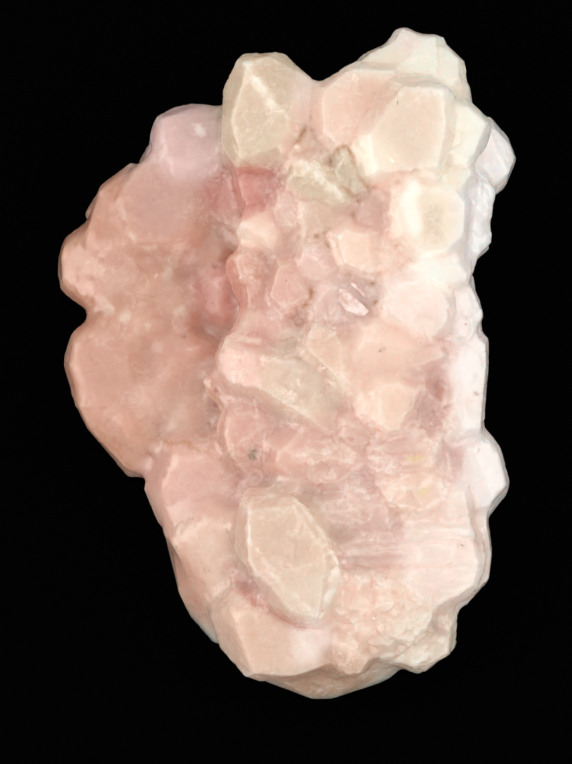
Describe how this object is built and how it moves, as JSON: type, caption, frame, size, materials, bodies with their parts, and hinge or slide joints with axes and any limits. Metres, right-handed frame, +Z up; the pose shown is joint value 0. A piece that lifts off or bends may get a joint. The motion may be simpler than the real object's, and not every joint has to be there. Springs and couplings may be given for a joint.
{
  "type": "crystallized rose quartz",
  "caption": "Hand specimen of pale pink quartz: blocky crystals grown together over a lump of massive quartz, broken off flat underneath so that it rests on a shelf or desk.",
  "frame": {"origin": "middle of the bounding box in X and Y, on the flat broken underside", "axes": "+Z up away from the underside, +Y along the specimen's length towards its tall end, +X across it; the crystal face leans 15 degrees towards -Y"},
  "size_m": [0.0474, 0.0658, 0.0292],
  "materials": {
    "rose_quartz": "milky translucent pale rose quartz with glossy, slightly uneven crystal faces"
  },
  "bodies": {
    "root": {"rose_quartz_cluster": "rose_quartz"}
  },
  "joints": []
}
